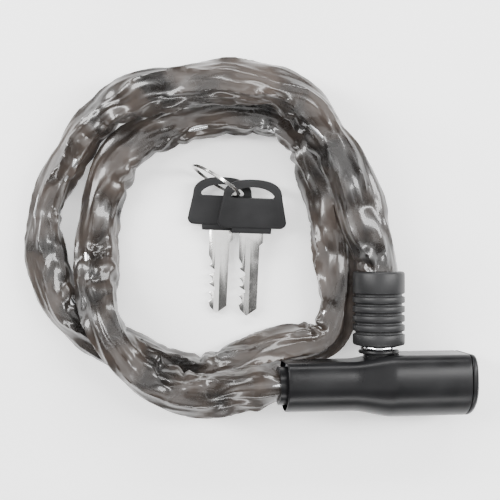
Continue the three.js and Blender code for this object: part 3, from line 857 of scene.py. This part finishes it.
@dataclass
class Sleeve:
    """The loose vinyl tube: flattened, faceted along its length and creased where it bends."""

    place: LockPlace
    wardrobe: Wardrobe
    line: Line
    half_width: float = 10.6
    half_height: float = 8.8
    ring_step: float = 1.45
    round_steps: int = 76
    tuck: tuple = (5.0, 7.0)
    floor: float = 0.25

    def __post_init__(self) -> None:
        """Finds where the sleeve goes into the lock and into the ferrule."""
        half = self.place.length / 2
        self.exit = self.place.at(-half, 0, 0)
        self.mouth = self.place.at(self.place.bolt_x, self.place.ferrule[1], 0)
        self.start = self.line.nearest(self.exit)
        self.end = self.line.nearest(self.mouth)
        self.waists = [(self.line.nearest(self.place.lying(*spot)), drawn) for spot, drawn in WAISTS]
        length = self.line.length / MM
        self.crushes = (Crush(length, 3, (30, 56), 3.8, 11), Crush(length, 7, (15, 30), 1.15, 5))

    def girth(self, run: float) -> tuple[float, float]:
        """Half the width and half the height at this run, in millimetres."""
        from_lock = (run - self.start) / MM
        to_mouth = (self.end - run) / MM
        wide, high = self.half_width, self.half_height
        neck = smooth(from_lock, -1, 15)
        wide, high = 6.4 + (wide - 6.4) * neck, 7.2 + (high - 7.2) * neck
        throat = smooth(to_mouth, -1, 11)
        wide, high = 9.1 + (wide - 9.1) * throat, 9.1 + (high - 9.1) * throat
        for waist, drawn in self.waists:
            wide -= drawn * (1 - smooth(abs(run - waist) / MM, 2, 26))
        slow = noise.noise(Vector((run * 38, 3.1, 7.7)))
        return wide + 0.9 * slow, high - 0.5 * slow

    def creases(self, run: float, turn: float, inner: float) -> float:
        """How far the film stands in or out of its mean section, in millimetres.

        Args:
            run: the place along the sleeve, in metres.
            turn: the angle round it.
            inner: how sharply it bends there and how much this spot is on the inside, from 0.
        """
        along = run / MM
        c, s = math.cos(turn), math.sin(turn)
        drift = 0.35 * noise.noise(Vector((along / 16, 1.2 * c, 1.2 * s)))
        shift = 5 * noise.noise(Vector((along / 30, c + 7, s)))
        folds = sum(crush.height(along + shift, turn + drift) for crush in self.crushes)
        wave = along / 4.4 + 1.6 * noise.noise(Vector((along / 14, c, s)))
        return folds + 3.0 * inner * (abs(math.sin(wave)) - 0.6)

    def spot(self, run: float, turn: float, frame: tuple[Vector, Vector, Vector], bend: Vector) -> Vector:
        """The film's point at a run and an angle."""
        centre, side, up = frame
        wide, high = self.girth(run)
        outward = side * math.cos(turn) + up * math.sin(turn)
        sharpness = min(1.0, bend.length / 30)
        inner = sharpness * max(0.0, outward.dot(bend.normalized())) if bend.length > 1 else 0.0
        calm = smooth((run - self.start) / MM, -2, 12) * smooth((self.end - run) / MM, -4, 9)
        out = self.creases(run, turn, inner) * (0.25 + 0.75 * calm)
        section = side * (wide * math.cos(turn)) + up * (high * math.sin(turn))
        point = centre + (section + outward * out) * MM
        low = self.floor * MM
        if point.z < low + 0.0006:
            point.z = low + 0.0002 * max(0.0, min(1.0, (point.z + 0.002) / 0.003))
        return point

    def tube(self, start: float, end: float) -> tuple[bmesh.types.BMesh, list[Vector]]:
        """One stretch of the sleeve as an open tube.

        Args:
            start: where it starts along the line, in metres.
            end: where it ends.

        Returns:
            The shape and its middle line.
        """
        count = max(8, round((end - start) / (self.ring_step * MM)))
        runs = [start + (end - start) * i / count for i in range(count + 1)]
        bm = bmesh.new()
        circle = bmesh.ops.create_circle(bm, segments=self.round_steps, radius=MM)
        ring = circle["verts"]
        edges = list({e for v in ring for e in v.link_edges})
        for i, run in enumerate(runs):
            if i:
                grown = bmesh.ops.extrude_edge_only(bm, edges=edges)["geom"]
                ring = [v for v in grown if isinstance(v, bmesh.types.BMVert)]
                edges = [e for e in grown if isinstance(e, bmesh.types.BMEdge) and all(v in ring for v in e.verts)]
            way = self.line.way(run)
            side = AXIS_Z.cross(way).normalized()
            frame = (self.line.at(run), side, way.cross(side))
            bend = self.line.bend(run)
            for k, vert in enumerate(ring):
                vert.co = self.spot(run, 2 * math.pi * k / self.round_steps, frame, bend)
        bmesh.ops.recalc_face_normals(bm, faces=bm.faces)
        return bm, [self.line.at(run) for run in runs[::3]]

    def make(self, chain: Sequence[bpy.types.Object], split: float) -> None:
        """Builds the long stretch that lies still and the stretch beyond the split, left unattached.

        Args:
            chain: the links inside; not used.
            split: where the two meet, along the line.
        """
        start = self.start - self.tuck[0] * MM
        end = self.end + self.tuck[1] * MM
        bm, path = self.tube(start, split)
        film = self.wardrobe.add(bm, "vinyl_sleeve", Finish.SLEEVE, "root", ["sleeve"])
        film.data.shade_smooth()
        bm, end_path = self.tube(split, end)
        gathered = self.wardrobe.add(bm, "vinyl_sleeve_end", Finish.SLEEVE, "", ["sleeve_gathered_end"])
        gathered.data.shade_smooth()
        tuple(self.line.at(split))
        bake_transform(gathered)
        split - start


# ---------------------------------------------------------------- keys and ring


@dataclass
class KeySet:
    """Two keys on a split ring."""

    place: LockPlace
    wardrobe: Wardrobe
    head_thickness: float = 4.6
    blade_thickness: float = 2.0
    low_width: float = 33.0
    high_width: float = 28.5
    head_length: float = 23.5
    blade_width: float = 11.5
    blade_length: float = 43.5
    ring_radius: float = 12.9
    ring_wire: float = 1.1

    def head_outline(self) -> list[tuple[float, float]]:
        """The head from above: wide near the blade, arched at the top."""
        low, high, top = self.low_width / 2, self.high_width / 2, self.head_length
        points = [(low - 3.2, 0.0), *arc(low - 3.0, 3.2, 3.2, -88, -4, 6), (high + 0.1, top - 8.5)]
        crown = []
        for i in range(1, 17):
            t = math.radians(90 * i / 16)
            crown.append((high * math.cos(t) ** 0.8, top - 8 + 8 * math.sin(t) ** 0.9))
        points += crown
        points += [(-x, y) for x, y in reversed(points[:-1])]
        return points

    def slot_outline(self) -> list[tuple[float, float]]:
        """The ring's slot: flat below and arched above."""
        bottom = self.head_length - 9
        rise, half = 5.2, 10.4
        points = [(-half + 0.6, bottom), (half - 0.6, bottom), (half, bottom + 0.6)]
        for i in range(0, 13):
            t = math.radians(15 + 150 * i / 12)
            points.append((half * 1.035 * math.cos(t), bottom + 0.2 + rise * math.sin(t) ** 1.1))
        points.append((-half, bottom + 0.6))
        return points

    def head(self) -> bmesh.types.BMesh:
        """A key's black head, with its slot and the step down to the blade."""
        thick = self.head_thickness
        bm = slab(self.head_outline(), thick)
        round_edges(bm, 0.9, 4, 60)
        slot = slab(self.slot_outline(), thick + 4)
        bmesh.ops.translate(slot, verts=slot.verts, vec=(0, 0, -2 * MM))
        step = slab([(-9.6, -2.6), (9.6, -2.6), (9.6, 1.0), (-9.6, 1.0)], 3.2)
        bmesh.ops.translate(step, verts=step.verts, vec=(0, 0, (thick - 3.2) / 2 * MM))
        round_edges(step, 0.5, 2, 60)
        bm = subtract(bm, [slot])
        mesh = bpy.data.meshes.new("step")
        step.to_mesh(mesh)
        step.free()
        bm.from_mesh(mesh)
        bpy.data.meshes.remove(mesh)
        return bm

    def blade_outline(self) -> list[tuple[float, float]]:
        """A blade from above: a shoulder, cuts along one edge and a point."""
        half = self.blade_width / 2
        points = [(half, 3.0), (half, -7.0), (half - 1.6, -8.6), (half - 1.9, -self.blade_length + 3.8)]
        points += [(-half + 4.6, -self.blade_length), (-half + 1.3, -self.blade_length + 3.2)]
        for i, depth in reversed(list(enumerate((1.6, 3.3, 2.2, 3.6, 2.0)))):
            y = -16.0 - i * 4.4
            points += [(-half + 0.5, y - 4.1), (-half + depth, y - 2.9), (-half + depth, y - 1.7)]
        points += [(-half + 0.2, -15.2), (-half, -14.6), (-half, 3.0)]
        return points

    def blade(self) -> bmesh.types.BMesh:
        """A nickel blade with a groove milled along each face."""
        thick = self.blade_thickness
        bm = slab(self.blade_outline(), thick)
        round_edges(bm, 0.18, 2, 25)
        cutters = []
        for z, x in ((thick - 0.8, -1.4), (-0.8, 1.2)):
            groove = slab([(x - 1.25, -self.blade_length - 2), (x + 1.25, -self.blade_length - 2), (x + 1.25, -5.5),
                           (x - 1.25, -5.5)], 1.4)
            bmesh.ops.translate(groove, verts=groove.verts, vec=(0, 0, z * MM))
            cutters.append(groove)
        bm = subtract(bm, cutters)
        lift = (self.head_thickness - thick) / 2 * MM
        bmesh.ops.translate(bm, verts=bm.verts, vec=(0, 0, lift))
        return bm

    def key(self, number: int, x: float, y: float, lift: float, lean: float) -> None:
        """One key, leaning from its raised head to its tip."""
        turn = Matrix.Rotation(math.radians(-2), 4, "Z") @ Matrix.Rotation(math.radians(lean), 4, "X")
        where = Matrix.Translation(self.place.lying(x, y, lift)) @ turn
        body = f"key_{number}"
        for bm, name, finish in ((self.head(), "head", Finish.KEY), (self.blade(), "blade", Finish.NICKEL)):
            bm.transform(where)
            self.wardrobe.add(bm, f"cut_key_{name}_{number}", finish, body, [f"key_{name}_{number}"])

    def ring(self) -> None:
        """The split ring: two turns of flat wire, side by side."""
        bm = bmesh.new()
        wire = self.ring_wire
        section = [bm.verts.new(Vector((self.ring_radius + a, b - wire * 0.5, 0)) * MM)
                   for a, b in ((-0.7, -0.34), (-0.55, -0.48), (0.55, -0.48), (0.7, -0.34),
                                (0.7, 0.34), (0.55, 0.48), (-0.55, 0.48), (-0.7, 0.34))]
        face = bm.faces.new(section)
        steps = 192
        bmesh.ops.spin(
            bm, geom=[face], cent=(0, 0, 0), axis=(0, 1, 0), angle=4 * math.pi, steps=steps,
            dvec=(0, wire * MM / steps, 0),
        )
        bmesh.ops.recalc_face_normals(bm, faces=bm.faces)
        low, high = (Vector(c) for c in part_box("split_ring"))
        turn = Matrix.Rotation(math.radians(-32), 4, "Z") @ Matrix.Rotation(math.radians(-7), 4, "X")
        turn = turn @ Matrix.Rotation(math.radians(200), 4, "Y")
        bm.transform(Matrix.Translation((low + high) / 2) @ turn)
        self.wardrobe.add(bm, "double_split_ring", Finish.NICKEL, "key_ring", ["split_ring"])

    def make(self) -> None:
        """Builds both keys and the ring."""
        self.key(1, 0.8, 11, 7.8, 8)
        self.key(2, -14, 12.4, 2.6, 3.2)
        self.ring()


# ---------------------------------------------------------------- the works inside and the set


@dataclass
class Works:
    """The CAD pieces that show as they are, with their finishes."""

    wardrobe: Wardrobe
    finishes: dict = field(
        default_factory=lambda: {
            "lock_body": Finish.ZINC,
            "cylinder_shell": Finish.BRASS,
            "key_plug": Finish.NICKEL,
            "plug_clip": Finish.CHAIN,
            "latch": Finish.CHAIN,
            "bolt_seal": Finish.SEAL,
            "ferrule_pin": Finish.CHAIN,
            "anchor_pin": Finish.CHAIN,
        }
    )

    def make(self, nodes: dict[str, bpy.types.Object]) -> None:
        """Dresses the nodes."""
        for name, node in nodes.items():
            if name.startswith("wafer"):
                self.wardrobe.dress(node, Finish.BRASS)
            elif name in self.finishes:
                self.wardrobe.dress(node, self.finishes[name])


@dataclass
class Studio:
    """A pale table, soft lights and the camera straight above."""

    place: LockPlace
    camera_height: float = 500.0
    lens: float = 72.65

    def camera(self) -> None:
        """The camera, looking straight down."""
        data = bpy.data.cameras.new("camera")
        data.lens, data.sensor_width = self.lens, 36.0
        data.clip_start = 0.01
        camera = bpy.data.objects.new("camera", data)
        camera.location = self.place.lying(0, 0, self.camera_height)
        bpy.context.scene.collection.objects.link(camera)
        bpy.context.scene.camera = camera

    def table(self) -> None:
        """The floor."""
        bm = bmesh.new()
        bmesh.ops.create_grid(bm, x_segments=1, y_segments=1, size=4.0)
        mesh = bpy.data.meshes.new("table")
        bm.to_mesh(mesh)
        bm.free()
        floor = bpy.data.objects.new("table", mesh)
        bpy.context.scene.collection.objects.link(floor)
        d = Dressing("pale_table", Roughness=0.6)
        for socket in ("Base Color", "Emission Color"):
            d.shader.inputs[socket].default_value = (0.95, 0.95, 0.95, 1)
        d.shader.inputs["Emission Strength"].default_value = 0.45
        mesh.materials.append(d.material)

    def light(self, name: str, spot: Sequence[float], size: tuple[float, float], power: float) -> None:
        """A soft rectangular light at a spot in metres, aimed at the table's middle."""
        data = bpy.data.lights.new(name, "AREA")
        data.shape, data.size, data.size_y, data.energy = "RECTANGLE", *size, power
        lamp = bpy.data.objects.new(name, data)
        lamp.location = spot
        lamp.rotation_euler = (-Vector(spot)).to_track_quat("-Z", "Y").to_euler()
        bpy.context.scene.collection.objects.link(lamp)

    def make(self) -> None:
        """Builds the set."""
        self.camera()
        self.table()
        self.light("left_softbox", (-0.62, 0.2, 0.55), (0.16, 0.8), 12)
        self.light("right_softbox", (0.62, 0.12, 0.55), (0.15, 0.8), 11)
        self.light("back_softbox", (0.0, 0.6, 0.5), (0.9, 0.14), 8)
        self.light("front_softbox", (0.1, -0.6, 0.35), (0.7, 0.12), 4)
        self.light("overhead_softbox", (0.0, 0.05, 1.0), (0.8, 0.8), 4)
        world = bpy.data.worlds.new("studio")
        bpy.context.scene.world = world
        world.use_nodes = True
        background = world.node_tree.nodes["Background"]
        background.inputs["Color"].default_value = (1, 1, 1, 1)
        background.inputs["Strength"].default_value = 0.16


def main() -> None:
    """Builds the lock, its chain and keys over the frame."""
    logging.basicConfig(level=logging.INFO, format="%(message)s")
    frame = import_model()
    place = LockPlace()
    wardrobe = Wardrobe()
    Studio(place).make()
    Barrel(place, wardrobe).make()
    bolt_end = BoltEnd(place, wardrobe)
    bolt_end.make()
    eye = 2.4
    pin = place.ferrule[0] + bolt_end.floor + 6.5
    half = place.length / 2
    line = Line(
        [
            place.at(place.anchor_x + eye, 0, 0),
            place.at((place.anchor_x - half) / 2, 0, 0),
            place.at(-half, 0, 0),
            *(place.lying(*spot) for spot in ROUTE),
            place.at(place.bolt_x, place.ferrule[1], 0),
            place.at(place.bolt_x, (place.ferrule[1] + pin) / 2, 0),
            place.at(place.bolt_x, pin - eye, 0),
        ]
    )
    chain = Chain(place, wardrobe, line)
    links = chain.make()
    split = line.length * (chain.links - chain.held - chain.sliding) / chain.links
    Sleeve(place, wardrobe, line).make(links, split)
    KeySet(place, wardrobe).make()
    Works(wardrobe).make(frame["nodes"])


if __name__ == "__main__":
    main()
